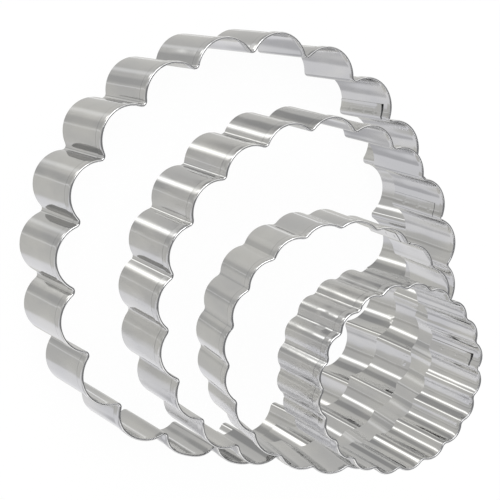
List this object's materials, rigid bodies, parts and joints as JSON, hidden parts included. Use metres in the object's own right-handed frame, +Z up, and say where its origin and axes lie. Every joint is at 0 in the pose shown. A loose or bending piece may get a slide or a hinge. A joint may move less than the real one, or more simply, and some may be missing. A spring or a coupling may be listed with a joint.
{
  "type": "fluted biscuit cutter set",
  "caption": "Nest of round fluted biscuit cutters in polished steel, each a bent strip with a hemmed rim, drawn out of one another like a telescope.",
  "frame": {"origin": "on the largest ring's axis, in the plane of its cutting edge, which rests on the table", "axes": "+Z up along the largest ring's axis from its cutting edge to its hemmed rim; +X is the picture's right side and +Y its upper side"},
  "size_m": [0.098, 0.098, 0.0642],
  "materials": {
    "polished_steel": "polished stainless steel with faint drawing lines along the flutes"
  },
  "bodies": {
    "largest_ring": {"largest_ring": "polished_steel"},
    "large_ring": {"large_ring": "polished_steel"},
    "medium_ring": {"medium_ring": "polished_steel"},
    "small_ring": {"small_ring": "polished_steel"}
  },
  "joints": [
    {"name": "large_ring_slide", "type": "slide", "parent": "largest_ring", "child": "large_ring", "axis": [0, -0.0419, 0.9991], "range_m": [-0.012, 0.02]},
    {"name": "medium_ring_slide", "type": "slide", "parent": "large_ring", "child": "medium_ring", "axis": [-0.1908, 0, 0.9816], "range_m": [0, 0.02]},
    {"name": "small_ring_slide", "type": "slide", "parent": "medium_ring", "child": "small_ring", "axis": [-0.0732, 0, 0.9973], "range_m": [-0.007, 0.02]}
  ]
}
